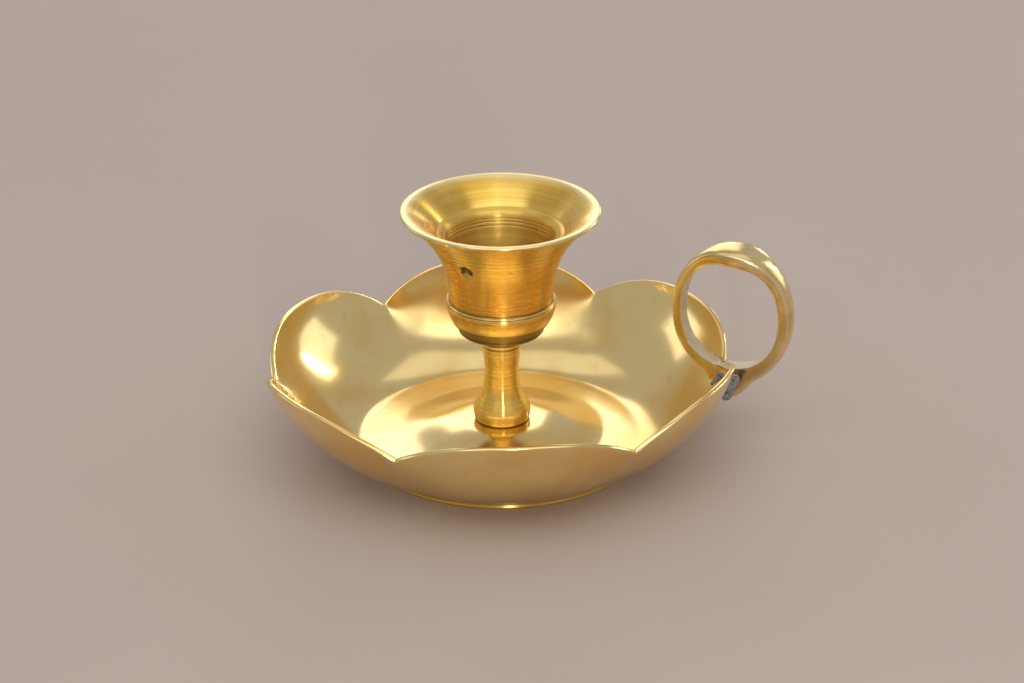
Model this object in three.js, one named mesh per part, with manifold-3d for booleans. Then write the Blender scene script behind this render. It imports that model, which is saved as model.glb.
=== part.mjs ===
// Brass chamber candlestick: turned cup and stem on a six-lobed drip pan,
// with a cast finger ring soldered at one notch of the rim.
// Millimetres, +Z up, table at z = 0, ring handle towards +X.

import * as THREE from 'three';
import * as BufferGeometryUtils from 'three/addons/utils/BufferGeometryUtils.js';
import Module from 'manifold-3d';

// ---- driving dimensions -------------------------------------------------

const footRingOuter = 33.0;
const footRingInner = 30.4;
const footRingHeight = 2.0;

const panSheet = 1.2;
const panHoleRadius = 2.8;
const panPadRadius = 8.4;
const panPadHeight = 6.75;
const panDomeRadius = 24.0;
const panHeelRadius = 32.0;
const panHeelSlope = 12;

// how much steeper than the heel-to-rim line the wall arrives, and how full it
// is, at a notch and in the middle of a lobe
const notchWall = { steepening: 8, push: 0.31 };
const lobeWall = { steepening: 34, push: 0.29 };
// ridges between lobes: rounding below the rim, and where the cusp sets in
const ridgeSoftness = 0.28;
const ridgeCrispFrom = 0.72;

// notches and lobes, counted anticlockwise from the handle: turn off the even
// 60 degree spacing, radius and height of each notch, then outward bulge and
// rise of the lobe that follows it
const panRim = [
  { turn: -0.1, radius: 51.9, height: 17.1, bulge: 2.2, rise: 7.6 },
  { turn: -0.5, radius: 51.6, height: 16.9, bulge: 2.2, rise: 7.5 },
  { turn: 0.5, radius: 51.7, height: 15.6, bulge: 1.6, rise: 8.7 },
  { turn: -0.1, radius: 52.6, height: 17.2, bulge: 3.1, rise: 7.5 },
  { turn: -0.3, radius: 51.5, height: 18.7, bulge: 2.5, rise: 7.2 },
  { turn: 0.6, radius: 51.7, height: 18.7, bulge: 2.2, rise: 7.7 },
];
const rimPlanPower = 3.1;
const rimRisePower = 2.65;

const stemBase = panPadHeight;
const stemTop = 26.4;
const stemScrewHole = 2.5;
const stemSpigotHole = 2.6;

const spigotRadius = 2.2;
const spigotLength = 6.0;
const cupFlangeHeight = 29.4;
const boreRadius = 10.9;
const boreFloor = 34.2;
const lipRadius = 22.6;
const lipHeight = 58.5;
const sideHoleRadius = 1.5;
const sideHoleHeight = 48.1;
const sideHoleAzimuth = -126;

const washerRadius = 6.4;
const washerThickness = 0.9;
const screwShankRadius = 2.1;
const screwHeadRadius = 4.3;
const screwHeadHeight = 2.0;
const screwTip = 15.5;

const ringTurn = -26;
const ringCentreRadius = 52.0;
const ringOpeningWidth = 23.0;
const ringOpeningHeight = 26.2;
const ringOpeningCentre = { u: 0.9, z: 31.4 };
const ringShankWidth = 4.6;
const thumbRestWidth = 9.4;
const jointGap = 0.3;

const aroundPan = 60;
const aroundTurned = 36;

// ---- materials ----------------------------------------------------------

const metal = (color, roughness, metalness) => (
  new THREE.MeshStandardMaterial({ color, roughness, metalness })
);
const polishedBrass = metal(0xe3c27a, 0.2, 1);
const warmBrass = metal(0xc08a34, 0.24, 1);
const castBrass = metal(0xbf9a50, 0.35, 1);
const steel = metal(0x8d8a80, 0.4, 1);
const solderGrey = metal(0x8a8c90, 0.5, 0.9);

// ---- helpers ------------------------------------------------------------

const wasm = await Module();
wasm.setup();

const rad = THREE.MathUtils.degToRad;

function toSolid(geometry) {
  const g = geometry.clone();
  g.deleteAttribute('normal');
  g.deleteAttribute('uv');
  const merged = BufferGeometryUtils.mergeVertices(g, 1e-5);
  return new wasm.Manifold(new wasm.Mesh({
    numProp: 3,
    vertProperties: new Float32Array(merged.attributes.position.array),
    triVerts: new Uint32Array(merged.index.array),
  }));
}

function toGeometry(solid) {
  const mesh = solid.getMesh();
  const g = new THREE.BufferGeometry();
  g.setAttribute('position', new THREE.BufferAttribute(mesh.vertProperties, 3));
  g.setIndex(new THREE.BufferAttribute(mesh.triVerts, 1));
  return g;
}

// closed or axis-to-axis profile of [radius, height] pairs, turned about +Z
function turned(profile, segments = aroundTurned) {
  const points = profile.map(([r, z]) => new THREE.Vector2(r, z));
  const g = new THREE.LatheGeometry(points, segments);
  g.rotateX(Math.PI / 2);
  return g;
}

function closedProfile(profile) {
  return [...profile, profile[0]];
}

// ---- drip pan -----------------------------------------------------------

// rim radius and height that the wall aims for at an angle: a cusp at each
// notch on the rim itself (t = 1), rounded off lower down the wall
function rimAt(theta, t) {
  const starts = panRim.map((n, i) => rad(60 * i + n.turn));
  const full = 2 * Math.PI;
  const turn = (((theta - starts[0]) % full) + full) % full + starts[0];
  let i = 5;
  while (i > 0 && turn < starts[i] - 1e-9) i -= 1;
  const j = (i + 1) % 6;
  const end = j === 0 ? starts[0] + full : starts[j];
  const s = (turn - starts[i]) / (end - starts[i]);
  const soft = ridgeSoftness * (1 - THREE.MathUtils.smoothstep(t, ridgeCrispFrom, 1));
  const inside = 1 - Math.abs(2 * s - 1);
  const u = 1 - (Math.hypot(inside, soft) - soft) / (Math.hypot(1, soft) - soft);
  const swell = 1 - u ** rimPlanPower;
  const a = panRim[i];
  const b = panRim[j];
  return {
    radius: THREE.MathUtils.lerp(a.radius, b.radius, s) + a.bulge * swell,
    height: THREE.MathUtils.lerp(a.height, b.height, s) + a.rise * (1 - u ** rimRisePower),
    swell,
  };
}

// angles that put a vertex exactly on every notch
function panAngle(step, steps) {
  const perLobe = steps / 6;
  const i = Math.floor(step / perLobe);
  const part = (step - i * perLobe) / perLobe;
  const from = 60 * i + panRim[i % 6].turn;
  const to = 60 * (i + 1) + panRim[(i + 1) % 6].turn;
  return rad(from + (to - from) * part);
}

// wall meridian between the heel and the rim: a cubic that leaves the heel at
// its slope and steepens towards the rim, moved by offset along its normal
function wallPoint(theta, t, offset, grow) {
  const rim = rimAt(theta, t);
  const edge = new THREE.Vector2(rim.radius + grow, rim.height + grow);
  const heel = new THREE.Vector2(panHeelRadius, footRingHeight);
  const { x: run, y: climb } = edge.clone().sub(heel);
  const length = Math.hypot(run, climb);
  const blend = (key) => THREE.MathUtils.lerp(notchWall[key], lobeWall[key], rim.swell);
  const start = rad(panHeelSlope);
  const end = Math.atan2(climb, run) + rad(blend('steepening'));
  const pull = new THREE.Vector2(Math.cos(start), Math.sin(start)).multiplyScalar(0.34 * length);
  const push = new THREE.Vector2(Math.cos(end), Math.sin(end)).multiplyScalar(-blend('push') * length);
  const meridian = new THREE.CubicBezierCurve(heel, heel.clone().add(pull), edge.clone().add(push), edge);
  const at = meridian.getPoint(t);
  const along = meridian.getTangent(t);
  return [at.x - offset * along.y, at.y + offset * along.x];
}

// floor meridian, top surface when offset is the sheet thickness
function floorProfile(offset) {
  const low = footRingHeight + offset;
  const high = panPadHeight - panSheet + offset;
  const points = [[panHoleRadius, high], [panPadRadius, high]];
  for (const s of [0.25, 0.5, 0.75, 1]) {
    const ease = s * s * (3 - 2 * s);
    points.push([
      THREE.MathUtils.lerp(panPadRadius, panDomeRadius, s),
      high + (low - high) * (0.55 * s + 0.45 * ease),
    ]);
  }
  points.push([panHeelRadius - 2.5, low]);
  return points;
}

// grow thickens the sheet on both sides, for cutting a neighbour clear of it
function panSolid(grow = 0) {
  const wallSteps = [0, 0.17, 0.34, 0.52, 0.7, 0.86, 1];
  const floorTop = floorProfile(panSheet + grow);
  const floorUnder = floorProfile(-grow);
  const count = (floorTop.length + wallSteps.length) * 2;
  const slots = Array.from({ length: count + 1 }, () => new THREE.Vector2(1, 0));
  const g = new THREE.LatheGeometry(slots, aroundPan);
  g.rotateX(Math.PI / 2);
  const position = g.attributes.position;
  for (let step = 0; step <= aroundPan; step += 1) {
    const theta = panAngle(step % aroundPan, aroundPan);
    const under = wallSteps.map((t) => wallPoint(theta, t, -grow, grow));
    const top = wallSteps.map((t) => wallPoint(theta, t, panSheet + grow, grow));
    const loop = [...floorUnder, ...under, ...top.reverse(), ...[...floorTop].reverse()];
    loop.push(loop[0]);
    loop.forEach(([r, z], k) => {
      position.setXYZ(step * (count + 1) + k, r * Math.cos(theta), r * Math.sin(theta), z);
    });
  }
  return g;
}

// ---- turned pieces ------------------------------------------------------

function footRingGeometry() {
  return turned(closedProfile([
    [footRingInner, 0.4],
    [footRingInner + 0.4, 0],
    [footRingOuter - 0.5, 0],
    [footRingOuter, 0.5],
    [footRingOuter, footRingHeight - 0.35],
    [footRingOuter - 0.35, footRingHeight],
    [footRingInner, footRingHeight],
  ]), aroundPan);
}

function stemGeometry() {
  return turned(closedProfile([
    [stemScrewHole, stemBase],
    [6.0, stemBase],
    [6.3, stemBase + 0.3],
    [6.6, stemBase + 2.85],
    [6.35, stemBase + 3.6],
    [5.55, stemBase + 5.2],
    [4.75, stemBase + 6.7],
    [4.25, stemBase + 8.1],
    [4.0, stemBase + 10.0],
    [3.9, stemBase + 12.3],
    [4.05, stemBase + 14.4],
    [4.25, stemBase + 15.9],
    [4.35, stemTop - 0.9],
    [4.65, stemTop - 0.6],
    [4.65, stemTop],
    [stemSpigotHole, stemTop],
    [stemSpigotHole, stemTop - spigotLength - 0.8],
    [1.2, stemTop - spigotLength - 1.4],
    [1.2, screwTip + 1.6],
    [stemScrewHole, screwTip + 0.6],
  ]), 32);
}

function cupGeometry() {
  const profile = [
    [0, stemTop - spigotLength],
    [spigotRadius - 0.3, stemTop - spigotLength],
    [spigotRadius, stemTop - spigotLength + 0.4],
    [spigotRadius, stemTop],
    [4.9, stemTop],
    [7.4, cupFlangeHeight - 1.2],
    [9.5, cupFlangeHeight - 0.3],
    [9.8, cupFlangeHeight],
    [9.8, cupFlangeHeight + 0.7],
    [11.0, cupFlangeHeight + 2.1],
    [12.0, cupFlangeHeight + 4.1],
    [12.45, cupFlangeHeight + 5.9],
    [12.4, cupFlangeHeight + 7.4],
    [11.85, cupFlangeHeight + 7.7],
    [12.0, 38.6],
    [12.3, 41.2],
    [12.75, 43.9],
    [13.5, 46.4],
    [14.6, 48.9],
    [16.3, 51.6],
    [18.6, 54.4],
    [21.2, 56.9],
    [lipRadius, lipHeight - 0.9],
    [lipRadius, lipHeight - 0.3],
    [lipRadius - 0.3, lipHeight],
    [lipRadius - 1.4, lipHeight],
    [18.6, lipHeight - 1.6],
    [16.2, lipHeight - 3.5],
    [14.4, lipHeight - 5.3],
    [13.5, lipHeight - 5.65],
    [12.4, lipHeight - 6.5],
    [12.2, lipHeight - 8.2],
    [11.9, lipHeight - 11.0],
    [11.3, lipHeight - 14.6],
    [boreRadius, lipHeight - 18.5],
    [boreRadius, boreFloor],
    [0, boreFloor],
  ];
  const drill = new THREE.CylinderGeometry(sideHoleRadius, sideHoleRadius, 8, 16);
  drill.rotateZ(Math.PI / 2);
  drill.translate(14, 0, 0);
  drill.rotateZ(rad(sideHoleAzimuth));
  drill.translate(0, 0, sideHoleHeight);
  return toGeometry(toSolid(turned(profile)).subtract(toSolid(drill)));
}

function washerGeometry() {
  const top = panPadHeight - panSheet;
  return turned(closedProfile([
    [panHoleRadius, top - washerThickness],
    [washerRadius, top - washerThickness],
    [washerRadius, top],
    [panHoleRadius, top],
  ]), 32);
}

function screwGeometry() {
  const seat = panPadHeight - panSheet - washerThickness;
  const body = turned([
    [0, seat - screwHeadHeight],
    [screwHeadRadius - 0.5, seat - screwHeadHeight],
    [screwHeadRadius, seat - screwHeadHeight + 0.5],
    [screwHeadRadius, seat],
    [screwShankRadius, seat],
    [screwShankRadius, screwTip - 0.6],
    [screwShankRadius - 0.6, screwTip],
    [0, screwTip],
  ], 28);
  const slot = new THREE.BoxGeometry(2 * screwHeadRadius + 2, 1.1, 1.8);
  slot.translate(0, 0, seat - screwHeadHeight);
  slot.rotateZ(rad(35));
  return toGeometry(toSolid(body).subtract(toSolid(slot)));
}

// ---- ring handle --------------------------------------------------------

const bump = (x) => Math.exp(-x * x);

// inner edge of the ring, its radial depth and its width, by the angle in the
// ring's own plane (0 away from the cup, 90 up)
function ringSection(angle) {
  const deg = THREE.MathUtils.radToDeg(angle);
  const off = (centre) => ((deg - centre + 540) % 360) - 180;
  const c = Math.cos(angle);
  const s = Math.sin(angle);
  const squash = 2 / 2.25;
  const inner = {
    u: 0.5 * ringOpeningWidth * Math.sign(c) * Math.abs(c) ** squash,
    z: 0.5 * ringOpeningHeight * Math.sign(s) * Math.abs(s) ** squash,
  };
  const depth = 2.5 + 0.5 * bump(off(0) / 50) + 0.85 * bump(off(90) / 30)
    + 5.0 * bump(off(-91) / 13.5) + 1.0 * bump(off(-68) / 22);
  const width = ringShankWidth + (thumbRestWidth - ringShankWidth) * bump(off(84) / 34);
  return { inner, depth, width };
}

function ringSolid(grow = 0) {
  const around = 48;
  // section corners as [depth share, width share], rounded outside
  const shape = [[0, -1], [0, 0], [0, 1], [0.78, 1], [1, 0.7], [1, -0.7], [0.78, -1]];
  const slots = Array.from({ length: shape.length + 1 }, () => new THREE.Vector2(1, 0));
  const g = new THREE.LatheGeometry(slots, around);
  const position = g.attributes.position;
  const centre = ringOpeningCentre;
  for (let step = 0; step <= around; step += 1) {
    const angle = ((step % around) / around) * 2 * Math.PI;
    const { inner, depth, width } = ringSection(angle);
    const out = new THREE.Vector2(
      inner.u / ringOpeningWidth ** 2,
      inner.z / ringOpeningHeight ** 2,
    ).normalize();
    for (let k = 0; k <= shape.length; k += 1) {
      const [d, w] = shape[k % shape.length];
      const reach = (depth + 2 * grow) * d - grow;
      position.setXYZ(
        step * (shape.length + 1) + k,
        centre.u + inner.u + out.x * reach,
        w * (width / 2 + grow),
        centre.z + inner.z + out.y * reach,
      );
    }
  }
  g.rotateZ(rad(ringTurn));
  g.translate(ringCentreRadius, 0, 0);
  return g;
}

function ringGeometry() {
  return toGeometry(toSolid(ringSolid()).subtract(toSolid(panSolid(jointGap))));
}

// a lump of solder in the corner between ring and rim, on the -Y side
function solderGeometry() {
  const g = new THREE.SphereGeometry(1, 14, 10);
  const position = g.attributes.position;
  const v = new THREE.Vector3();
  for (let i = 0; i < position.count; i += 1) {
    v.fromBufferAttribute(position, i);
    const lump = 1 + 0.09 * Math.sin(5.1 * v.x + 2.3 * v.z) * Math.cos(4.3 * v.y - 1.1)
      + 0.06 * Math.sin(7.7 * v.z + 1.7);
    position.setXYZ(i, 2.9 * v.x * lump, 2.7 * v.y * lump, 3.6 * v.z * lump);
  }
  g.rotateY(rad(20));
  g.translate(51.6, -3.9, 14.2);
  return toGeometry(
    toSolid(g).subtract(toSolid(panSolid(jointGap))).subtract(toSolid(ringSolid(jointGap))),
  );
}

// ---- assembly -----------------------------------------------------------

function piece(name, geometry, material) {
  const mesh = new THREE.Mesh(geometry, material);
  mesh.name = name;
  return mesh;
}

const candlestick = new THREE.Group();
candlestick.add(
  piece('drip_pan', panSolid(), polishedBrass),
  piece('foot_ring', footRingGeometry(), polishedBrass),
  piece('stem', stemGeometry(), warmBrass),
  piece('candle_cup', cupGeometry(), warmBrass),
  piece('base_washer', washerGeometry(), steel),
  piece('base_screw', screwGeometry(), steel),
  piece('ring_handle', ringGeometry(), castBrass),
  piece('handle_solder', solderGeometry(), solderGrey),
);

// the middle of the whole outline stands over the origin
const outline = new THREE.Box3().setFromObject(candlestick);
candlestick.position.set(
  -(outline.min.x + outline.max.x) / 2,
  -(outline.min.y + outline.max.y) / 2,
  0,
);

const part = new THREE.Group();
part.add(candlestick);

export default part;
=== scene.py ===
import math

import bmesh
import bpy
from mathutils import Matrix, Vector, noise


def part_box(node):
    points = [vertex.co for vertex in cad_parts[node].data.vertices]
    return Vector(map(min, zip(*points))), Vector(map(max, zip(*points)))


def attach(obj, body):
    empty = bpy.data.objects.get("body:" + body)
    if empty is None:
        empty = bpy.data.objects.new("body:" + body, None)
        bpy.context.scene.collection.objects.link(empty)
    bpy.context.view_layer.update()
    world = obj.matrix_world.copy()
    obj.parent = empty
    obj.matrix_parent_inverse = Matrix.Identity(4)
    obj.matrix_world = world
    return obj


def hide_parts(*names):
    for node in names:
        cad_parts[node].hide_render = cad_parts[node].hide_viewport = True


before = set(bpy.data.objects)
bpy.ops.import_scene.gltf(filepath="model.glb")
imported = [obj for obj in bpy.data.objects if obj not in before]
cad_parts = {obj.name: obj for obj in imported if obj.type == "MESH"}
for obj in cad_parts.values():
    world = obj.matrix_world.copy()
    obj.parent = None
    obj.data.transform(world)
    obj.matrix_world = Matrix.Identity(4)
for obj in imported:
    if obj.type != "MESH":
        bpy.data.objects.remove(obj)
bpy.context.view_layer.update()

mm = 0.001
root = "root"
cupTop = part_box("candle_cup")[1].z
stemLow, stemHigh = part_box("stem")
axis = Vector(((stemLow.x + stemHigh.x) / 2, (stemLow.y + stemHigh.y) / 2, 0))

print("candlestick: frame loaded, stem axis at", [round(v / mm, 3) for v in axis])


# node graphs are written as expressions on these wires

class Wire:  # a socket that node maths can be written with
    def __init__(self, graph, socket):
        self.graph, self.socket = graph, socket

    def out(self, name):
        return Wire(self.graph, self.socket.node.outputs[name])

    def maths(self, operation, *others):
        return self.graph.maths(operation, self, *others)

    def __add__(self, other):
        return self.graph.maths("ADD", self, other)

    def __radd__(self, other):
        return self.graph.maths("ADD", other, self)

    def __sub__(self, other):
        return self.graph.maths("SUBTRACT", self, other)

    def __rsub__(self, other):
        return self.graph.maths("SUBTRACT", other, self)

    def __mul__(self, other):
        return self.graph.maths("MULTIPLY", self, other)

    def __rmul__(self, other):
        return self.graph.maths("MULTIPLY", other, self)

    def __truediv__(self, other):
        return self.graph.maths("DIVIDE", self, other)

    def __rtruediv__(self, other):
        return self.graph.maths("DIVIDE", other, self)

    def __pow__(self, other):
        return self.graph.maths("POWER", self, other)

    def __abs__(self):
        return self.graph.maths("ABSOLUTE", self)


class Graph:
    def __init__(self, tree):
        self.tree = tree

    def node(self, kind, settings=None, inputs=None, output=0):
        made = self.tree.nodes.new(kind)
        for key, value in (settings or {}).items():
            if key == "choices":
                while len(made.index_switch_items) < len(value):
                    made.index_switch_items.new()
                for number, choice in enumerate(value):
                    made.inputs[1 + number].default_value = choice
            else:
                setattr(made, key, value)
        for key, value in (inputs or {}).items():
            if isinstance(value, Wire):
                self.tree.links.new(value.socket, made.inputs[key])
            else:
                made.inputs[key].default_value = value
        return Wire(self, made.outputs[output])

    def maths(self, operation, *values):
        return self.node("ShaderNodeMath", {"operation": operation}, dict(enumerate(values)))

    def vectors(self, operation, *values, output=0):
        return self.node("ShaderNodeVectorMath", {"operation": operation}, dict(enumerate(values)), output)

    def combine(self, x, y, z):
        return self.node("ShaderNodeCombineXYZ", None, {"X": x, "Y": y, "Z": z})

    def blend(self, share, first, second):  # two colours
        first, second = [v if isinstance(v, Wire) else (*v, 1) for v in (first, second)]
        return self.node("ShaderNodeMix", {"data_type": "RGBA"}, {0: share, 6: first, 7: second}, 2)

    def clamp(self, value):
        return self.node("ShaderNodeClamp", None, {"Value": value})

    def ease(self, value, low, high, start=0.0, end=1.0):  # smooth step from start to end
        return self.node("ShaderNodeMapRange", {"interpolation_type": "SMOOTHSTEP"},
                         {"Value": value, "From Min": low, "From Max": high, "To Min": start, "To Max": end})

    def near(self, value, centre, width):  # 1 at centre, 0 beyond width
        return 1 - self.ease(abs(value - centre), 0.0, width)


# helpers that shape trees and meshes

def startTree(name, sizes):
    tree = bpy.data.node_groups.new(name, "GeometryNodeTree")
    graph = Graph(tree)
    tree.interface.new_socket("Geometry", in_out="OUTPUT", socket_type="NodeSocketGeometry")
    tree.interface.new_socket("Geometry", in_out="INPUT", socket_type="NodeSocketGeometry")
    for label, value in sizes.items():
        kind = "NodeSocketInt" if isinstance(value, int) else "NodeSocketFloat"
        tree.interface.new_socket(label, in_out="INPUT", socket_type=kind).default_value = value
    tree.interface.new_socket("Material", in_out="INPUT", socket_type="NodeSocketMaterial")
    entry = tree.nodes.new("NodeGroupInput")
    return graph, {socket.name: Wire(graph, socket) for socket in entry.outputs if socket.name}


def endTree(graph, shape, material):
    real = graph.node("GeometryNodeRealizeInstances", None, {"Geometry": shape})
    smooth = graph.node("GeometryNodeSetShadeSmooth", None, {"Geometry": real})
    painted = graph.node("GeometryNodeSetMaterial", None, {"Geometry": smooth, "Material": material})
    leave = graph.tree.nodes.new("NodeGroupOutput")
    graph.tree.links.new(painted.socket, leave.inputs[0])
    return graph.tree


def closedGrid(graph, around, across):  # an unrolled sheet: u runs round, v runs along the profile
    grid = graph.node("GeometryNodeMeshGrid", None,
                      {"Size X": 1.0, "Size Y": 1.0, "Vertices X": around + 1, "Vertices Y": across})
    spot = graph.node("GeometryNodeInputPosition")
    u = graph.node("ShaderNodeSeparateXYZ", None, {"Vector": spot})
    return grid, u + 0.5, u.out("Y") + 0.5


def newObject(name, mesh=None):
    thing = bpy.data.objects.new(name, mesh or bpy.data.meshes.new(name))
    bpy.context.scene.collection.objects.link(thing)
    return thing


def growShape(thing, tree, values, material):
    modifier = thing.modifiers.new("shape", "NODES")
    modifier.node_group = tree
    for item in tree.interface.items_tree:
        if item.in_out == "INPUT" and item.name in values:
            modifier[item.identifier] = values[item.name]
        elif item.name == "Material":
            modifier[item.identifier] = material
    return thing


scrapFaces = 40  # an island smaller than this is a sliver that a cut left behind
weld, shortest = 2e-6, 1e-6  # points this close are merged, and edges this short go


def dropScraps(work):
    seen, scraps = set(), []
    for start in work.faces:
        if start in seen:
            continue
        island, waiting = [start], [start]
        seen.add(start)
        while waiting:
            for edge in waiting.pop().edges:
                for face in edge.link_faces:
                    if face not in seen:
                        seen.add(face)
                        island.append(face)
                        waiting.append(face)
        if len(island) < scrapFaces:
            scraps += island
    bmesh.ops.delete(work, geom=scraps, context="FACES")


def settle(thing):  # modifiers applied and the mesh cleaned
    graph = bpy.context.evaluated_depsgraph_get()
    mesh = bpy.data.meshes.new_from_object(thing.evaluated_get(graph), depsgraph=graph)
    thing.modifiers.clear()
    thing.data = mesh
    mesh.name = thing.name
    work = bmesh.new()
    work.from_mesh(mesh)
    bmesh.ops.remove_doubles(work, verts=work.verts, dist=weld)
    bmesh.ops.dissolve_degenerate(work, edges=work.edges, dist=shortest)
    dropScraps(work)
    bmesh.ops.recalc_face_normals(work, faces=work.faces)
    if work.calc_volume(signed=True) < 0:
        bmesh.ops.reverse_faces(work, faces=work.faces)
    work.to_mesh(mesh)
    work.free()
    return thing


def smoothSides(thing, angle=38):
    mesh = thing.data
    mesh.shade_smooth()
    mesh.set_sharp_from_angle(angle=math.radians(angle))


def place(thing, node, material):
    thing.data.materials.clear()
    thing.data.materials.append(material)
    for face in thing.data.polygons:
        face.material_index = 0
    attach(thing, root)
    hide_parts(node)
    print("made", thing.name, "with", len(thing.data.polygons), "faces")


def cutBy(thing, cutter):  # exact boolean, then the cutter goes
    modifier = thing.modifiers.new("cut", "BOOLEAN")
    modifier.operation = "DIFFERENCE"
    modifier.solver = "EXACT"
    modifier.object = cutter
    settle(thing)
    bpy.data.objects.remove(cutter)


# profiles for the turned pieces, in millimetres

def catmull(points, step):
    if len(points) < 3:
        (r0, z0), (r1, z1) = points
        count = max(1, round(math.hypot(r1 - r0, z1 - z0) / step))
        return [(r0 + (r1 - r0) * i / count, z0 + (z1 - z0) * i / count) for i in range(count + 1)]
    ends = [tuple(2 * a - b for a, b in zip(points[0], points[1]))] + points \
        + [tuple(2 * a - b for a, b in zip(points[-1], points[-2]))]
    line = [points[0]]
    for p0, p1, p2, p3 in zip(ends, ends[1:], ends[2:], ends[3:]):
        count = max(1, round(math.dist(p1, p2) / step))
        for i in range(1, count + 1):
            t = i / count
            line.append(tuple(0.5 * (2 * b + (c - a) * t + (2 * a - 5 * b + 4 * c - d) * t * t
                                     + (3 * b - a - 3 * c + d) * t ** 3)
                              for a, b, c, d in zip(p0, p1, p2, p3)))
    return line


def fillet(before, corner, after, size):  # a rounded corner between two neighbouring points
    ends = []
    for point in (before, after):
        away = max(math.dist(point, corner), 1e-9)
        ends.append(tuple(c + (a - c) * size / away for a, c in zip(point, corner)))
    start, end = ends
    return [tuple((1 - t) ** 2 * a + 2 * t * (1 - t) * c + t * t * b for a, c, b in zip(start, corner, end))
            for t in (0, 0.25, 0.5, 0.75, 1)]


def drawProfile(points, step):
    # points are (radius, height), or (radius, height, fillet) for a corner; smooth curves run between corners
    runs, current = [], [points[0][:2]]
    corners = []
    for point in points[1:]:
        current.append(point[:2])
        if len(point) == 3:
            runs.append(current)
            corners.append(point[2])
            current = [point[:2]]
    if len(current) > 1:
        runs.append(current)
    lines = [catmull(run, step) for run in runs]
    joined = lines[0]
    for line, size in zip(lines[1:], corners):
        corner = line[0]
        before = [point for point in joined if math.dist(point, corner) > size * 1.02]
        after = [point for point in line if math.dist(point, corner) > size * 1.02]
        joined = before + fillet(before[-1], corner, after[0] if after else line[-1], size) + after
    return joined


def latheTree():
    graph, given = startTree("turnOnLathe", {"Around": 96, "Axis X": 0.0, "Axis Y": 0.0})
    profile = given["Geometry"]
    count = graph.node("GeometryNodeAttributeDomainSize", {"component": "MESH"}, {"Geometry": profile})
    grid, u, v = closedGrid(graph, given["Around"], count)
    step = (v * (count - 1)).maths("ROUND")
    spot = graph.node("GeometryNodeInputPosition")
    sample = graph.node("GeometryNodeSampleIndex", {"data_type": "FLOAT_VECTOR", "domain": "POINT"},
                        {"Geometry": profile, "Value": spot, "Index": step})
    radius = graph.node("ShaderNodeSeparateXYZ", None, {"Vector": sample})
    turn = u * (2 * math.pi)
    point = graph.combine(radius * turn.maths("COSINE") + given["Axis X"],
                          radius * turn.maths("SINE") + given["Axis Y"], radius.out("Z"))
    moved = graph.node("GeometryNodeSetPosition", None, {"Geometry": grid, "Position": point})
    merged = graph.node("GeometryNodeMergeByDistance", None, {"Geometry": moved, "Distance": 1e-6})
    return endTree(graph, merged, given["Material"])


lathe = latheTree()


def turned(name, profile, around, material, step):
    line = drawProfile(profile, step)
    mesh = bpy.data.meshes.new(name)
    mesh.from_pydata([(r * mm, 0, z * mm) for r, z in line], [(i, i + 1) for i in range(len(line) - 1)], [])
    thing = newObject(name, mesh)
    growShape(thing, lathe, {"Around": around, "Axis X": axis.x, "Axis Y": axis.y}, material)
    return settle(thing)


# brass, steel and solder finishes

def startMaterial(name):
    material = bpy.data.materials.new(name)
    material.use_nodes = True
    material.node_tree.nodes.clear()
    graph = Graph(material.node_tree)
    coordinates = graph.node("ShaderNodeTexCoord", output="Object")
    centred = graph.node("ShaderNodeMapping", None,
                         {"Vector": coordinates, "Location": (-axis.x, -axis.y, 0)})
    return material, graph, centred


def aroundAxis(graph, centred):
    x = graph.node("ShaderNodeSeparateXYZ", None, {"Vector": centred})
    y, z = x.out("Y"), x.out("Z")
    return x, y, z, (x * x + y * y).maths("SQRT")


def cloud(graph, vector, scale, detail=3.0, roughness=0.55):
    return graph.node("ShaderNodeTexNoise", None,
                      {"Vector": vector, "Scale": scale, "Detail": detail, "Roughness": roughness})


def endMaterial(material, graph, colour, roughness, height, depth, metallic=1.0, constants=None):
    bump = graph.node("ShaderNodeBump", None, {"Height": height, "Distance": depth, "Strength": 1.0})
    shader = graph.node("ShaderNodeBsdfPrincipled", None,
                        {"Base Color": colour, "Roughness": roughness, "Metallic": metallic, "Normal": bump,
                         **(constants or {})})
    leave = graph.tree.nodes.new("ShaderNodeOutputMaterial")
    graph.tree.links.new(shader.socket, leave.inputs["Surface"])
    return material


wornEdge = (0.95, 0.80, 0.48)  # brass rubbed pale along an edge

panFinish = {
    "bright": (0.95, 0.73, 0.33),
    "deep": (0.88, 0.61, 0.22),
    "tarnishAndShade": (0.52, 0.36, 0.13),
    "polish": 0.10,
}


def panBrass():
    material, graph, centred = startMaterial("panBrass")
    x, y, z, radius = aroundAxis(graph, centred)
    broad = cloud(graph, centred, 42, 3)
    spots = cloud(graph, centred, 330, 4, 0.6)
    swirl = cloud(graph, graph.combine(radius * 2600, z * 2600, x * 30), 1.0, 3)
    rubbed = graph.node("ShaderNodeMapping", None,
                        {"Vector": centred, "Rotation": (0, 0, 0.7), "Scale": (900, 60, 300)})
    scratch = cloud(graph, rubbed, 1.0, 4, 0.7)
    edge = graph.node("ShaderNodeAttribute", {"attribute_name": "edge"}, output="Fac")
    stain = graph.ease(broad, 0.46, 0.66)
    # painted shade: the floor is darkened in a ring round the stem's foot, where shade falls; the spots below
    # are real tarnish
    corner = graph.near(radius, 0.0072, 0.0030) * graph.ease(z, 0.0095, 0.006)
    colour = graph.blend(stain, panFinish["bright"], panFinish["deep"])
    colour = graph.blend(graph.ease(spots, 0.60, 0.74) * 0.22 + corner * 0.35, colour, panFinish["tarnishAndShade"])
    colour = graph.blend(edge * 0.4, colour, wornEdge)
    roughness = panFinish["polish"] + stain * 0.05 + swirl * 0.05 + scratch * 0.05 + edge * 0.12
    height = swirl * 0.5 + scratch * 0.35 + spots * 0.5
    return endMaterial(material, graph, colour, roughness, height, 0.0000035)


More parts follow.
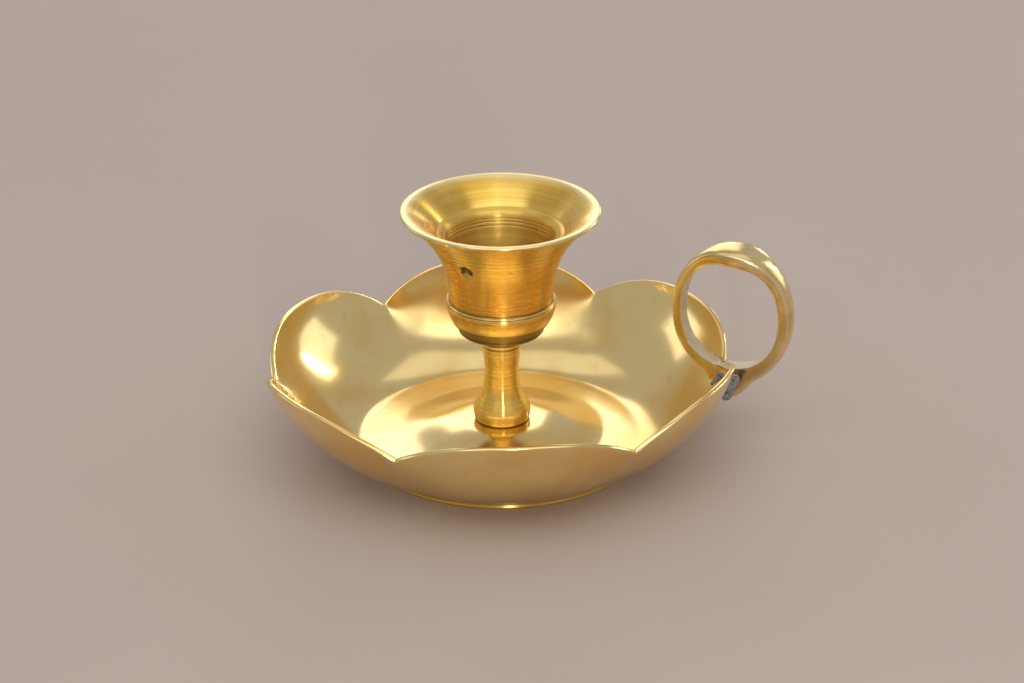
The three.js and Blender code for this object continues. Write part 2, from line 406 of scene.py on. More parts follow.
turnedFinish = {
    "bright": (0.93, 0.65, 0.19),
    "deep": (0.78, 0.48, 0.07),
    "tarnishAndShade": (0.26, 0.14, 0.03),
    "wearAndHighlight": (0.96, 0.82, 0.5),
    "rustAndHoleShade": (0.05, 0.045, 0.035),
    "verdigris": (0.09, 0.17, 0.06),
    "polish": 0.19,
}


def turnedBrass(name, shadedGrooves=(), wornHighlightCrests=(), hole=None, grain=1.0):
    # grooves and crests are (height, width) in metres: grooves get painted shade in their corners, crests get
    # pale edges that are partly wear and partly a painted highlight
    material, graph, centred = startMaterial(name)
    x, y, z, radius = aroundAxis(graph, centred)
    broad = cloud(graph, centred, 60, 3)
    spots = cloud(graph, centred, 420, 3, 0.6)
    coarse = cloud(graph, graph.combine(radius * 900, z * 1700, x * 14), 1.0, 2)
    fine = cloud(graph, graph.combine(radius * 4200, z * 5200, x * 30 + y * 22), 1.0, 3)
    lines = graph.ease(coarse, 0.34, 0.66)
    stain = graph.ease(broad, 0.42, 0.68)
    colour = graph.blend(graph.clamp(stain * 0.5 + lines * 0.5), turnedFinish["bright"], turnedFinish["deep"])
    dark = graph.ease(spots, 0.62, 0.75) * 0.15
    # painted shade: each groove is darkened where shade gathers in it, on top of the real tarnish spots
    for height, width in shadedGrooves:
        dark = dark + graph.near(z, height, width) * 0.75
    colour = graph.blend(graph.clamp(dark), colour, turnedFinish["tarnishAndShade"])
    # partly wear, partly painted highlight: a thin pale band along each crest
    for height, width in wornHighlightCrests:
        colour = graph.blend(graph.near(z, height, width) * 0.7, colour, turnedFinish["wearAndHighlight"])
    roughness = turnedFinish["polish"] + lines * 0.05 * grain + fine * 0.08 * grain \
        + stain * 0.04 + dark * 0.2
    if hole:
        # the bore is duller than the outside, and darker low down
        wall = ((z - 0.042) * 0.12 + 0.0116).maths("MAXIMUM", 0.0114)
        bore = graph.ease(radius - wall, 0.0002, -0.0002)
        roughness = roughness + bore * 0.2
        colour = graph.blend(bore * graph.ease(z, 0.0420, 0.037) * 0.8, colour, turnedFinish["tarnishAndShade"])
        # the drilled hole's wall is painted dark as shade, with verdigris at its upper edge
        across = graph.vectors("CROSS_PRODUCT", graph.vectors("SUBTRACT", centred, (0, 0, hole["height"])),
                               (math.cos(hole["turn"]), math.sin(hole["turn"]), 0))
        away = graph.vectors("LENGTH", across, output="Value")
        facing = x * math.cos(hole["turn"]) + y * math.sin(hole["turn"])
        outside = graph.ease(facing, 0.009, 0.011)
        holeShadeMask = graph.ease(away, hole["radius"] + 0.00004, hole["radius"] - 0.00006) * outside
        colour = graph.blend(holeShadeMask * 0.93, colour, turnedFinish["rustAndHoleShade"])
        roughness = roughness + holeShadeMask * 0.3
        ring = graph.near(away + (spots - 0.5) * 0.0006, hole["radius"] + 0.0001, 0.00055) * outside
        green = ring * graph.ease(z, hole["height"] - 0.0001, hole["height"] + 0.0007)
        colour = graph.blend(green * 0.9, colour, turnedFinish["verdigris"])
        roughness = roughness + green * 0.3
    height = (fine * 0.6 + coarse * 0.6) * grain + spots * 0.2
    return endMaterial(material, graph, colour, roughness, height, 0.000006,
                       constants={"Anisotropic": 0.94, "Anisotropic Rotation": 0.25})


castFinish = {
    "bright": (0.90, 0.70, 0.34),
    "deep": (0.70, 0.50, 0.17),
    "scale": (0.66, 0.60, 0.50),
}


def castBrass():
    material, graph, centred = startMaterial("castBrass")
    raw = graph.node("ShaderNodeAttribute", {"attribute_name": "raw"}, output="Fac")
    edge = graph.node("ShaderNodeAttribute", {"attribute_name": "edge"}, output="Fac")
    broad = cloud(graph, centred, 110, 3)
    pits = cloud(graph, centred, 2400, 3, 0.6)
    filed = graph.node("ShaderNodeMapping", None,
                       {"Vector": centred, "Rotation": (0.3, 0.5, 0.45), "Scale": (3000, 180, 700)})
    file = cloud(graph, filed, 1.0, 3, 0.7)
    colour = graph.blend(graph.ease(broad, 0.4, 0.66), castFinish["bright"], castFinish["deep"])
    colour = graph.blend(graph.clamp(raw * (0.35 + pits * 0.75)), colour, castFinish["scale"])
    colour = graph.blend(edge * 0.55, colour, wornEdge)
    roughness = 0.12 + file * 0.10 + broad * 0.06 + raw * 0.14 - edge * 0.03
    height = pits * (0.1 + raw * 6.0) + file * 0.2
    return endMaterial(material, graph, colour, roughness, height, 0.0001)


solderFinish = {
    "dull": (0.24, 0.24, 0.26),
    "bright": (0.5, 0.5, 0.53),
    "pit": (0.035, 0.035, 0.04),
}


def solderMetal():
    material, graph, centred = startMaterial("solderMetal")
    grain = cloud(graph, centred, 900, 5, 0.7)
    lumps = cloud(graph, centred, 2600, 3, 0.6)
    pit = graph.ease(grain, 0.5, 0.36)
    colour = graph.blend(graph.ease(lumps, 0.3, 0.7), solderFinish["dull"], solderFinish["bright"])
    colour = graph.blend(pit, colour, solderFinish["pit"])
    roughness = 0.34 + lumps * 0.3 + pit * 0.2
    return endMaterial(material, graph, colour, roughness, grain * 2.0 + lumps, 0.00022, metallic=0.85)


steelFinish = {
    "dull": (0.36, 0.35, 0.33),
    "bright": (0.56, 0.55, 0.52),
    "rust": (0.16, 0.085, 0.04),
}


def screwSteel():
    material, graph, centred = startMaterial("screwSteel")
    x, y, z, radius = aroundAxis(graph, centred)
    rings = cloud(graph, graph.combine(radius * 5200, z * 4000, x * 60), 1.0, 3)
    rustAndHoleShade = cloud(graph, centred, 700, 4, 0.65)
    rust = graph.ease(rustAndHoleShade, 0.56, 0.72)
    colour = graph.blend(rings, steelFinish["dull"], steelFinish["bright"])
    colour = graph.blend(rust * 0.75, colour, steelFinish["rust"])
    roughness = 0.28 + rings * 0.15 + rust * 0.35
    return endMaterial(material, graph, colour, roughness, rings + rust * 1.5, 0.000012)


# drip pan: beaten sheet with six lobes

pan = {
    "sizes": {
        "Around": 360, "Across": 64,
        "Hole radius": 2.8 * mm, "Pad radius": 8.4 * mm, "Pad underside": 5.55 * mm,
        "Dome radius": 24.0 * mm, "Heel radius": 32.0 * mm, "Floor underside": 2.0 * mm,
        "Heel slope": math.radians(12),
        "Notch steepening": math.radians(8), "Lobe steepening": math.radians(34),
        "Notch push": 0.31, "Lobe push": 0.29, "Ridge softness": 0.28, "Crisp from": 0.72,
        "Plan power": 3.1, "Rise power": 2.65, "Floor share": 0.42,
        "Beating": 0.05 * mm, "Beat size": 11.0 * mm,
    },
    "sheet": 1.2 * mm,
    "edge": 0.32 * mm,
    # each notch, counted round from the handle, then the lobe that follows it
    "turn": [-0.1, -0.5, 0.5, -0.1, -0.3, 0.6],
    "radius": [51.9, 51.6, 51.7, 52.6, 51.5, 51.7],
    "height": [17.1, 16.9, 15.6, 17.2, 18.7, 18.7],
    "bulge": [2.2, 2.2, 1.6, 3.1, 2.5, 2.2],
    "rise": [7.6, 7.5, 8.7, 7.5, 7.2, 7.7],
}


def panTree():
    graph, given = startTree("lobedPan", {**pan["sizes"], "Axis X": 0.0, "Axis Y": 0.0})
    grid, u, v = closedGrid(graph, given["Around"], given["Across"])

    # which lobe, and how far across it
    sixths = u * 6
    lobe = sixths.maths("FLOOR").maths("MINIMUM", 5)
    share = sixths - lobe
    after = (lobe + 1).maths("MODULO", 6)

    def notch(key, which, unit=mm):
        index = graph.node("FunctionNodeFloatToInt", {"rounding_mode": "ROUND"}, {"Float": which})
        choices = [value * unit for value in pan[key]]
        return graph.node("GeometryNodeIndexSwitch", {"data_type": "FLOAT", "choices": choices},
                          {"Index": index})

    degree = math.radians(1)
    start = lobe * (60 * degree) + notch("turn", lobe, degree)
    end = (lobe + 1) * (60 * degree) + notch("turn", after, degree)
    angle = start + (end - start) * share

    # the notch is a cusp at the rim, and a rounded ridge lower down
    t = graph.clamp((v - given["Floor share"]) / (1 - given["Floor share"]))
    soft = given["Ridge softness"] * graph.ease(t, 1.0, given["Crisp from"])
    inside = 1 - abs(share * 2 - 1)
    rounded = ((inside * inside + soft * soft).maths("SQRT") - soft) \
        / ((soft * soft + 1).maths("SQRT") - soft)
    off = 1 - rounded
    swell = 1 - off ** given["Plan power"]
    rimRadius = notch("radius", lobe) + (notch("radius", after) - notch("radius", lobe)) * share \
        + notch("bulge", lobe) * swell
    rimHeight = notch("height", lobe) + (notch("height", after) - notch("height", lobe)) * share \
        + notch("rise", lobe) * (1 - off ** given["Rise power"])

    # floor: a boss under the stem that eases down to the flat
    floorShare = given["Floor share"]
    low, high = given["Floor underside"], given["Pad underside"]
    floorRadius = given["Hole radius"] \
        + (given["Heel radius"] - given["Hole radius"]) * graph.clamp(v / floorShare)
    down = graph.clamp((floorRadius - given["Pad radius"]) / (given["Dome radius"] - given["Pad radius"]))
    floorHeight = high + (low - high) * (down * 0.55 + down * down * (3 - down * 2) * 0.45)

    # wall: leaves the heel at its slope and steepens towards the rim
    run, climb = rimRadius - given["Heel radius"], rimHeight - low
    length = (run * run + climb * climb).maths("SQRT")
    lean = climb.maths("ARCTAN2", run) + given["Notch steepening"] \
        + (given["Lobe steepening"] - given["Notch steepening"]) * swell
    push = given["Notch push"] + (given["Lobe push"] - given["Notch push"]) * swell
    heel = given["Heel slope"]
    ways = [
        (given["Heel radius"], heel.maths("COSINE"), lean.maths("COSINE"), rimRadius),
        (low, heel.maths("SINE"), lean.maths("SINE"), rimHeight),
    ]
    rest = 1 - t
    wall = [a * rest * rest * rest + (a + length * 0.34 * leave) * 3 * rest * rest * t
            + (b - length * push * arrive) * 3 * rest * t * t + b * t * t * t for a, leave, arrive, b in ways]
    onWall = v.maths("GREATER_THAN", floorShare)
    radius = floorRadius + (wall[0] - floorRadius) * onWall
    height = floorHeight + (wall[1] - floorHeight) * onWall

    point = graph.combine(radius * angle.maths("COSINE") + given["Axis X"],
                          radius * angle.maths("SINE") + given["Axis Y"], height)
    shaped = graph.node("GeometryNodeSetPosition", None, {"Geometry": grid, "Position": point})
    merged = graph.node("GeometryNodeMergeByDistance", None, {"Geometry": shaped, "Distance": 1e-6})

    # the hand-worked surface wavers a little, least at the seat and the rim
    spot = graph.node("GeometryNodeInputPosition")
    waver = graph.node("ShaderNodeTexNoise", None,
                       {"Vector": spot, "Scale": 1 / given["Beat size"], "Detail": 1.0})
    upright = graph.node("GeometryNodeInputNormal")
    calm = graph.ease(t, 0.0, 0.3) * graph.ease(t, 1.0, 0.8)
    nudge = graph.node("ShaderNodeVectorMath", {"operation": "SCALE"},
                       {0: upright, "Scale": (waver - 0.5) * 2 * given["Beating"] * calm})
    beaten = graph.node("GeometryNodeSetPosition", None, {"Geometry": merged, "Offset": nudge})
    return endTree(graph, beaten, given["Material"])


lobedPan = panTree()


def makePan(name, brass, grow=0.0):  # grow makes a fatter copy, for cutting a neighbour clear of it
    thing = newObject(name)
    growShape(thing, lobedPan, {**pan["sizes"], "Axis X": axis.x, "Axis Y": axis.y}, brass)
    skin = thing.modifiers.new("sheet", "SOLIDIFY")
    skin.thickness = pan["sheet"] + 2 * grow
    skin.offset = -1.0 + 2 * grow / (pan["sheet"] + 2 * grow)
    skin.use_even_offset = skin.use_quality_normals = True
    if not grow:
        edge = thing.modifiers.new("edge", "BEVEL")
        edge.width, edge.segments = pan["edge"], 3
        edge.limit_method, edge.angle_limit = "ANGLE", math.radians(60)
    return settle(thing)


def markRim(thing):  # how close each point is to the rim's bare edge
    mesh = thing.data
    mark = mesh.attributes.new("edge", "FLOAT", "POINT")
    rims = [(math.radians(60 * i + pan["turn"][i]), pan["radius"][i], pan["height"][i],
             pan["bulge"][i], pan["rise"][i]) for i in range(6)]
    values = []
    for vertex in mesh.vertices:
        x, y = (vertex.co - axis).xy
        values.append(rimShare(rims, math.atan2(y, x), math.hypot(x, y), vertex.co.z))
    mark.data.foreach_set("value", values)


def rimShare(rims, angle, out, height):
    turn = (angle - rims[0][0]) % (2 * math.pi) + rims[0][0]
    i = max(k for k in range(6) if turn >= rims[k][0] - 1e-9)
    begin, following = rims[i], rims[(i + 1) % 6]
    finish = following[0] + (2 * math.pi if i == 5 else 0)
    share = (turn - begin[0]) / (finish - begin[0])
    off = abs(2 * share - 1)
    radius = begin[1] + (following[1] - begin[1]) * share \
        + begin[3] * (1 - off ** pan["sizes"]["Plan power"])
    rise = begin[2] + (following[2] - begin[2]) * share \
        + begin[4] * (1 - off ** pan["sizes"]["Rise power"])
    away = math.hypot(out / mm - radius + 0.45, height / mm - rise - 0.4)
    return max(0.0, 1 - max(0.0, away - 0.55) / 0.7)


# foot ring under the pan

foot = {
    "profile": [(31.4, 0.25), (30.4, 0.7, 0.25), (30.4, 2.0, 0.1), (32.6, 2.0, 0.2), (33.0, 1.7, 0.15),
                (32.85, 1.15), (33.0, 0.55), (32.55, 0.0, 0.3), (31.7, 0.0, 0.2), (31.4, 0.25)],
    "around": 240,
}
footBrass = turnedBrass("footBrass", wornHighlightCrests=[(0.0018, 0.0003)], grain=0.7)
footThing = turned("foot_ring_turned", foot["profile"], foot["around"], footBrass, 0.25)
place(footThing, "foot_ring", footBrass)
smoothSides(footThing)


# stem

stemBase, stemTop = stemLow.z / mm, stemHigh.z / mm
stem = {
    "around": 128,
    # outside, from the foot up to the collar under the cup
    "outside": [(5.85, 0.0, 0.12), (6.15, 0.16, 0.12), (6.28, 0.5), (6.5, 1.7), (6.58, 2.62, 0.12),
                (6.55, 3.0), (6.3, 3.7), (5.55, 5.2), (4.78, 6.7), (4.28, 8.1), (4.02, 10.0),
                (3.9, 12.3), (4.02, 14.4), (4.25, 16.2)],
    "collar": [(4.36, 0.92, 0.08), (4.6, 0.72, 0.1), (4.65, 0.0, 0.08)],   # radius and depth below the top
    "inside": [(2.6, 0.0, 0.1), (2.6, 6.8, 0.2), (1.2, 7.4, 0.1), (1.2, 9.3, 0.1), (2.5, 10.3, 0.1)],
}
stemBrass = turnedBrass("stemBrass", shadedGrooves=[(stemLow.z, 0.0006), (stemHigh.z - 0.001, 0.0005)],
                        wornHighlightCrests=[(stemLow.z + 0.0027, 0.0005), (stemHigh.z - 0.0003, 0.0003)])
stemProfile = [(2.5, stemBase)] + [(r, stemBase + z, *f) for r, z, *f in stem["outside"]] \
    + [(r, stemTop - z, *f) for r, z, *f in stem["collar"] + stem["inside"]] + [(2.5, stemBase)]
stemThing = turned("stem_turned", stemProfile, stem["around"], stemBrass, 0.3)
place(stemThing, "stem", stemBrass)
smoothSides(stemThing)


# candle cup

lip = cupTop / mm
cup = {
    "around": 160,
    "spigot": [(0.0, 20.4), (1.9, 20.4, 0.15), (2.2, 20.8, 0.1), (2.2, 26.4, 0.1), (4.9, 26.4, 0.15)],
    "bowl": [(6.1, 27.55), (7.5, 28.35), (9.35, 28.95), (9.75, 29.35, 0.12), (9.8, 30.05, 0.12),
             (10.35, 30.75), (11.2, 31.9), (11.95, 33.4), (12.38, 34.9), (12.45, 35.9), (12.3, 36.3, 0.06),
             (12.12, 36.42, 0.06), (12.3, 36.52, 0.08), (12.44, 36.75), (12.32, 37.02, 0.06),
             (11.85, 37.12, 0.08)],
    "body": [(11.88, 37.9), (12.0, 38.9), (12.25, 41.2), (12.72, 43.9), (13.45, 46.4), (14.6, 48.9),
             (16.25, 51.6), (18.55, 54.4), (21.1, 56.85), (22.45, 57.65, 0.25)],
    "lip": [(22.6, 58.2, 0.2), (22.25, 58.5, 0.15), (21.2, 58.45, 0.35)],
    "mouth": [(20.0, 57.85), (18.6, 56.95), (16.3, 55.05), (14.45, 53.25, 0.12)],
    "bore": [(13.5, 52.85), (12.5, 52.1, 0.25), (12.32, 51.4, 0.05), (12.45, 51.2, 0.05),
             (12.28, 51.0, 0.05), (12.25, 50.6, 0.05), (12.38, 50.4, 0.05), (12.2, 50.2, 0.05),
             (12.15, 49.7, 0.05), (12.26, 49.5, 0.05), (12.1, 49.3, 0.05), (11.9, 47.5), (11.5, 45.0),
             (11.05, 42.0), (10.9, 39.0), (10.9, 34.6, 0.3), (10.4, 34.2, 0.2), (3.0, 34.2),
             (1.2, 33.9), (0.0, 33.8)],
    # the drill runs outwards between two distances from the axis, and the wall's face lies between them
    "hole": {"radius": 1.5, "height": 48.1, "azimuth": -126, "break": 0.25, "face": 14.3,
             "drill": (10.0, 18.0)},
}
holeTurn = math.radians(cup["hole"]["azimuth"])
cupBrass = turnedBrass("cupBrass", shadedGrooves=[(0.03722, 0.00035), (0.03642, 0.00015), (0.02975, 0.0004)],
                       wornHighlightCrests=[(0.03675, 0.0003), (cupTop - 0.0002, 0.0005)],
                       hole={"turn": holeTurn, "radius": cup["hole"]["radius"] * mm,
                             "height": cup["hole"]["height"] * mm})
cupProfile = cup["spigot"] + cup["bowl"] + cup["body"] + cup["lip"] + cup["mouth"] + cup["bore"]
cupThing = turned("candle_cup_turned", cupProfile, cup["around"], cupBrass, 0.4)


def sideDrill():  # a twist drill with a wider shoulder, so that the hole's edge is broken
    hole = cup["hole"]
    narrow, shoulder = hole["radius"], hole["break"]
    wide = narrow + shoulder * 2
    start, end = hole["drill"]
    line = [(0.0, start), (narrow, start), (narrow, hole["face"] - shoulder), (wide, hole["face"] + shoulder),
            (wide, end), (0.0, end)]
    steps = 40
    turns = [2 * math.pi * k / steps for k in range(steps)]
    work = bmesh.new()
    rings = []
    for out, along in line:
        if out == 0:
            rings.append([work.verts.new((along * mm, 0, 0))] * steps)
        else:
            rings.append([work.verts.new((along * mm, out * mm * math.cos(turn), out * mm * math.sin(turn)))
                          for turn in turns])
    for a, b in zip(rings, rings[1:]):
        for k in range(steps):
            corners = [a[k], a[(k + 1) % steps], b[(k + 1) % steps], b[k]]
            work.faces.new(list(dict.fromkeys(corners)))
    bmesh.ops.recalc_face_normals(work, faces=work.faces)
    mesh = bpy.data.meshes.new("side_drill")
    work.to_mesh(mesh)
    work.free()
    spot = Matrix.Translation((axis.x, axis.y, hole["height"] * mm))
    mesh.transform(spot @ Matrix.Rotation(holeTurn, 4, "Z"))
    return newObject("side_drill", mesh)


cutBy(cupThing, sideDrill())
place(cupThing, "candle_cup", cupBrass)
smoothSides(cupThing)


# washer and screw under the pan

washerLow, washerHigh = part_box("base_washer")
screwLow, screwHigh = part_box("base_screw")
under, seat, tip = screwLow.z / mm, washerLow.z / mm, screwHigh.z / mm
washer = {"bore": 2.8, "rim": 6.4, "around": 64}
screw = {
    "head": 4.3, "shank": 2.1, "pitch": 0.8, "thread": 0.35, "around": 48,
    "slot": (1.1, 0.9, 35),  # width, depth and turn
}
steel = screwSteel()

washerTop = washerHigh.z / mm
washerProfile = [(4.0, seat), (washer["bore"], seat, 0.12), (washer["bore"], washerTop, 0.1),
                 (washer["rim"], washerTop, 0.1), (washer["rim"], seat, 0.3), (4.0, seat)]
washerThing = turned("base_washer_turned", washerProfile, washer["around"], steel, 0.4)
place(washerThing, "base_washer", steel)
smoothSides(washerThing)

threads = []
turnStart, turnEnd = seat + 1.4, tip - 0.8
count = int((turnEnd - turnStart) / screw["pitch"])
for k in range(count):
    base = turnStart + k * screw["pitch"]
    threads += [(screw["shank"], base, 0.05), (screw["shank"], base + 0.1, 0.05),
                (screw["shank"] - screw["thread"], base + screw["pitch"] * 0.55, 0.05)]
screwProfile = [(0.0, under + 0.1), (2.0, under + 0.02), (screw["head"] - 0.55, under, 0.3),
                (screw["head"], under + 0.6, 0.3), (screw["head"], seat, 0.1), (screw["shank"], seat, 0.1),
                (screw["shank"], seat + 1.3, 0.05)] + threads \
    + [(screw["shank"] - 0.5, tip - 0.1, 0.1), (0.0, tip)]
screwThing = turned("base_screw_turned", screwProfile, screw["around"], steel, 0.3)
slotWidth, slotDepth, slotTurn = screw["slot"]
slotMesh = bpy.data.meshes.new("slot_cutter")
work = bmesh.new()
bmesh.ops.create_cube(work, size=1.0)
work.to_mesh(slotMesh)
work.free()
slotSpot = Matrix.Translation((axis.x, axis.y, under * mm)) @ Matrix.Rotation(math.radians(slotTurn), 4, "Z")
slotMesh.transform(slotSpot @ Matrix.Diagonal((12 * mm, slotWidth * mm, 2 * slotDepth * mm, 1)))
cutBy(screwThing, newObject("slot_cutter", slotMesh))
place(screwThing, "base_screw", steel)
smoothSides(screwThing)


# ring handle, and the pan that it is seated in

handle = {
    "turn": -26.0, "centre": 52.0,  # twist about the upright, distance from the stem
    "opening": (23.0, 26.2), "squareness": 2 / 2.25, "middle": (0.9, 31.4),
    "shank": 4.6, "thumb": (9.4, 84, 34),  # width in the shank; width, angle and spread of the thumb rest
    # radial depth, then what is added to it: (how much, at what angle, how far it spreads)
    "depth": 2.5, "thicker": [(0.5, 0, 50), (0.85, 90, 30), (5.0, -91, 13.5), (1.0, -68, 22)],
    "around": 360,
    "clearance": 0.12,  # how far the pan's corner is filed clear of the ring
    "castWaver": 0.1, "rawWaver": 0.16, "rawGrain": 0.14,
}


def hump(angle, centre, spread):  # 1 at the centre, fading over the spread, in degrees
    off = ((math.degrees(angle) - centre + 540) % 360 - 180) / spread
    return math.exp(-off * off)


def handleSection(angle):  # inner edge, radial depth and width at an angle in the ring's plane
    c, s = math.cos(angle), math.sin(angle)
    wide, tall = handle["opening"]
    power = handle["squareness"]
    inner = Vector((0.5 * wide * math.copysign(abs(c) ** power, c),
                    0.5 * tall * math.copysign(abs(s) ** power, s)))
    depth = handle["depth"]
    for more, centre, spread in handle["thicker"]:
        depth += more * hump(angle, centre, spread)
    thumb, centre, spread = handle["thumb"]
    width = handle["shank"] + (thumb - handle["shank"]) * hump(angle, centre, spread)
    out = Vector((inner.x / wide ** 2, inner.y / tall ** 2)).normalized()
    return inner, out, depth, width


def handleOutline():
    # (depth share, width share, how raw, how worn) round the section, from the inner wall out and back
    wall = [(0.0, w / 5 * 0.9, 1.0, 0.0) for w in range(-4, 5)]
    corner = [(0.0, 0.9, 1.0, 0.2), (0.03, 0.955, 0.3, 1.0), (0.10, 0.99, 0.0, 1.0), (0.17, 1.0, 0.0, 0.2),
              (0.45, 1.0, 0.0, 0.0), (0.71, 0.985, 0.0, 0.2), (0.77, 0.97, 0.0, 1.0), (0.82, 0.92, 0.0, 0.8),
              (0.90, 0.78, 0.0, 0.1), (0.96, 0.60, 0.0, 0.0)]
    crown = [(1.0, w, 0.0, 0.0) for w in (0.35, 0.0, -0.35)]
    return wall + corner + crown + [(d, -w, raw, edge) for d, w, raw, edge in reversed(corner)]


def makeHandle(name, grow=0.0):  # grow makes a fatter copy, for cutting a neighbour clear of it
    outline = handleOutline()
    work = bmesh.new()
    rawLayer = work.verts.layers.float.new("raw")
    edgeLayer = work.verts.layers.float.new("edge")
    loops = []
    frameTurn = Matrix.Translation((axis.x + handle["centre"] * mm, axis.y, 0)) \
        @ Matrix.Rotation(math.radians(handle["turn"]), 4, "Z")
    for step in range(handle["around"]):
        angle = 2 * math.pi * step / handle["around"]
        inner, out, depth, width = handleSection(angle)
        loop = []
        for share, side, raw, edge in outline:
            reach = depth * share + grow * (2 * share - 1)
            spot = Vector((handle["middle"][0] + inner.x + out.x * reach, side * (width / 2 + grow),
                           handle["middle"][1] + inner.y + out.y * reach))
            waver = noise.noise(spot * 0.22) * handle["castWaver"] \
                + noise.noise(spot * 0.9 + Vector((7, 3, 1))) * handle["rawWaver"] * raw \
                + noise.noise(spot * 2.4 + Vector((4, 9, 2))) * handle["rawGrain"] * raw
            spot -= Vector((out.x, 0, out.y)) * (abs(waver) if share > 0.5 else -waver)
            vertex = work.verts.new(frameTurn @ (spot * mm))
            vertex[rawLayer], vertex[edgeLayer] = raw, edge
            loop.append(vertex)
        loops.append(loop)
    for a, b in zip(loops, loops[1:] + loops[:1]):
        for k in range(len(outline)):
            work.faces.new((a[k], a[(k + 1) % len(outline)], b[(k + 1) % len(outline)], b[k]))
    bmesh.ops.recalc_face_normals(work, faces=work.faces)
    mesh = bpy.data.meshes.new(name)
    work.to_mesh(mesh)
    work.free()
    return newObject(name, mesh)


ringBrass = castBrass()
handleThing = makeHandle("ring_handle_cast")
place(handleThing, "ring_handle", ringBrass)
smoothSides(handleThing, 50)


def fileCorner(sheet):  # the pan's corner is filed back so that the ring's foot sits in it
    cutBy(sheet, makeHandle("fat_ring", handle["clearance"]))


beatenBrass = panBrass()
panThing = makePan("drip_pan_sheet", beatenBrass)
fileCorner(panThing)
markRim(panThing)
place(panThing, "drip_pan", beatenBrass)
smoothSides(panThing, 40)


# solder lump

solder = {
    "middle": (50.8, -4.7, 15.2), "size": (2.9, 2.7, 3.0), "tilt": 12.0,
    "lumps": 0.16, "pits": 0.10,
    "panGap": 0.05, "ringGap": 0.03,
    # runs of solder that crept along the joint: (direction, how far past the lump, how narrow)
    "runs": [((0.72, -0.35, 0.72), 0.50, 5.0), ((-0.62, -0.30, 0.75), 0.34, 6.0),
             ((0.55, -0.30, -0.85), 0.34, 5.0), ((-0.70, -0.20, -0.60), 0.42, 6.0)],
}


def makeSolder():
    work = bmesh.new()
    bmesh.ops.create_icosphere(work, subdivisions=6, radius=1.0)
    size = Vector(solder["size"])
    tilt = Matrix.Rotation(math.radians(solder["tilt"]), 4, "Y")
    runs = [(Vector(way).normalized(), reach, narrow) for way, reach, narrow in solder["runs"]]
    for vertex in work.verts:
        v = vertex.co.copy()
        lump = 0.92 + 0.07 * math.sin(5.1 * v.x + 2.3 * v.z) * math.cos(4.3 * v.y - 1.1) \
            + 0.04 * math.sin(7.7 * v.z + 1.7)
        for way, reach, narrow in runs:
            lump += reach * max(0.0, v.dot(way)) ** (narrow * 2)
        lump += solder["lumps"] * min(0.2, noise.noise(v * 2.6 + Vector((3, 1, 5)))) \
            + solder["lumps"] * 0.5 * noise.noise(v * 6.0 + Vector((2, 2, 7))) \
            - solder["pits"] * max(0.0, noise.noise(v * 7.5 + Vector((1, 8, 2))) - 0.1) * 3.0
        spot = tilt @ Vector((v.x * size.x, v.y * size.y, v.z * size.z)) * lump
        vertex.co = (spot + Vector(solder["middle"])) * mm + axis
    mesh = bpy.data.meshes.new("handle_solder_lump")
    work.to_mesh(mesh)
    work.free()
    return newObject("handle_solder_lump", mesh)


lumpMetal = solderMetal()
solderThing = makeSolder()
fatPan = makePan("fat_pan", beatenBrass, solder["panGap"] * mm)
fileCorner(fatPan)
cutBy(solderThing, fatPan)
cutBy(solderThing, makeHandle("fat_ring", solder["ringGap"]))
place(solderThing, "handle_solder", lumpMetal)
smoothSides(solderThing, 60)


# table, light and camera

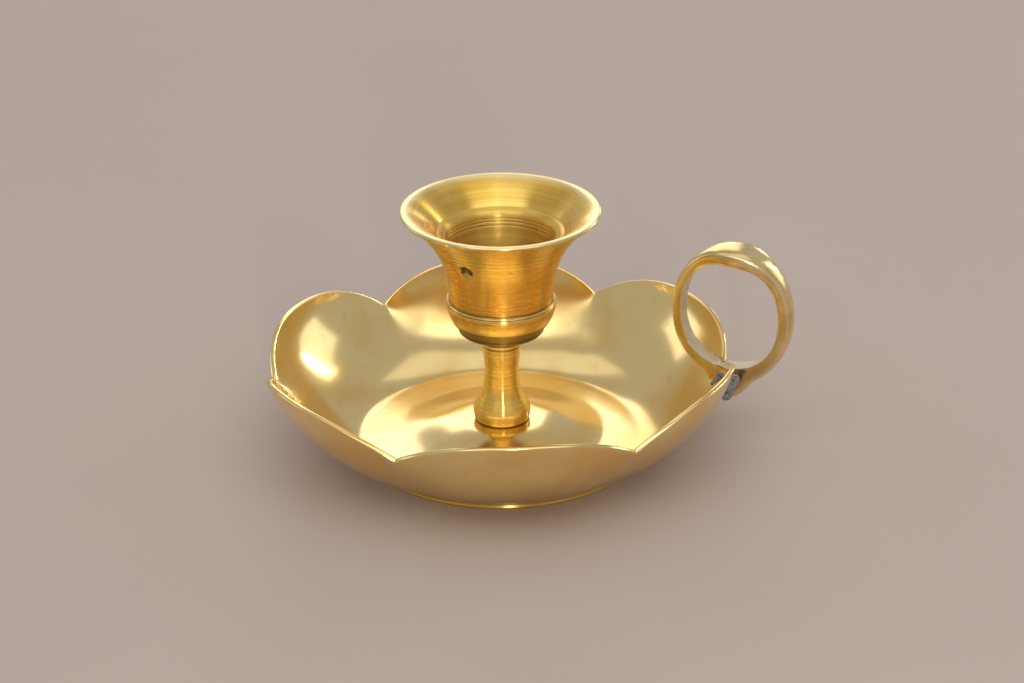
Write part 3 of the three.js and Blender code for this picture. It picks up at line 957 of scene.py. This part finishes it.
studio = {
    "distance": 0.660, "around": -3.784, "elevation": 24.988, "roll": -0.394,
    "aim": (2.407, -0.159, 25.865), "lens": 101.67,
    "table": (0.54, 0.45, 0.40),
    "sky": (0.90, 0.88, 0.88), "skyStrength": 0.50,
    # where each soft box is, what it is aimed at, its size, power and colour
    "boxes": [
        ("box_overhead", (0.0, 0.45, 1.2), (0, 0, 0), (1.3, 0.6), 1.0, (1.0, 0.98, 0.95)),
        ("box_high_front", (0.0, -0.52, 1.08), (0, 0, 0), (1.5, 0.85), 4.8, (1.0, 0.98, 0.95)),
        ("box_back", (0.0, 1.5, 0.58), (0, 0, 0.1), (0.72, 0.95), 3.0, (1.0, 0.98, 0.96)),
        ("box_right", (1.15, 0.61, 0.36), (0, 0, 0.02), (0.55, 0.5), 0.75, (1.0, 0.98, 0.96)),
        ("box_left", (-1.15, 0.61, 0.36), (0, 0, 0.02), (0.55, 0.5), 0.75, (1.0, 0.98, 0.96)),
        ("box_strip", (0.87, 0.68, 0.37), (0, 0, 0.02), (0.05, 0.34), 0.75, (1.0, 0.98, 0.95)),
        ("box_front", (0.03, -1.25, 0.36), (0, 0, 0.03), (0.045, 0.42), 3.6, (1.0, 0.98, 0.95)),
        ("box_low_right", (0.62, 1.15, 0.20), (0, 0, 0.02), (0.20, 0.30), 0.45, (1.0, 0.98, 0.95)),
    ],
}


def makeTable():
    work = bmesh.new()
    bmesh.ops.create_circle(work, cap_ends=True, radius=3.0, segments=96)
    mesh = bpy.data.meshes.new("table_top")
    work.to_mesh(mesh)
    work.free()
    table = newObject("table_top", mesh)
    material, graph, centred = startMaterial("paleTable")
    tone = cloud(graph, centred, 14, 3)
    colour = graph.blend(tone, studio["table"], tuple(v * 0.97 for v in studio["table"]))
    endMaterial(material, graph, colour, 0.7 + tone * 0.06, tone, 0.00002, metallic=0.0,
                constants={"Specular IOR Level": 0.15})
    mesh.materials.append(material)
    return table


def softBox(name, at, towards, size, power, colour):
    lamp = bpy.data.lights.new(name, "AREA")
    lamp.shape, lamp.size, lamp.size_y = "RECTANGLE", size[0], size[1]
    lamp.energy, lamp.color = power, colour
    thing = newObject(name, lamp)
    thing.location = at
    thing.rotation_euler = (Vector(towards) - Vector(at)).to_track_quat("-Z", "Y").to_euler()
    return thing


makeTable()
for box in studio["boxes"]:
    softBox(*box)

sky = bpy.data.worlds.new("studioSky")
sky.use_nodes = True
bpy.context.scene.world = sky
backdrop = sky.node_tree.nodes["Background"]
backdrop.inputs["Color"].default_value = (*studio["sky"], 1)
backdrop.inputs["Strength"].default_value = studio["skyStrength"]

lens = bpy.data.cameras.new("camera")
lens.lens, lens.sensor_width = studio["lens"], 36.0
lens.clip_start, lens.clip_end = 0.05, 20.0
camera = newObject("camera", lens)
swing, lift = math.radians(studio["around"]), math.radians(studio["elevation"])
back = Vector((math.sin(swing) * math.cos(lift), -math.cos(swing) * math.cos(lift), math.sin(lift)))
aim = axis + Vector(studio["aim"]) * mm
camera.location = aim + back * studio["distance"]
camera.rotation_mode = "QUATERNION"
roll = Matrix.Rotation(math.radians(studio["roll"]), 3, "Z").to_quaternion()
camera.rotation_quaternion = (-back).to_track_quat("-Z", "Y") @ roll
bpy.context.scene.camera = camera
bpy.context.scene.view_settings.view_transform = "Standard"
print("table, lights and camera set")
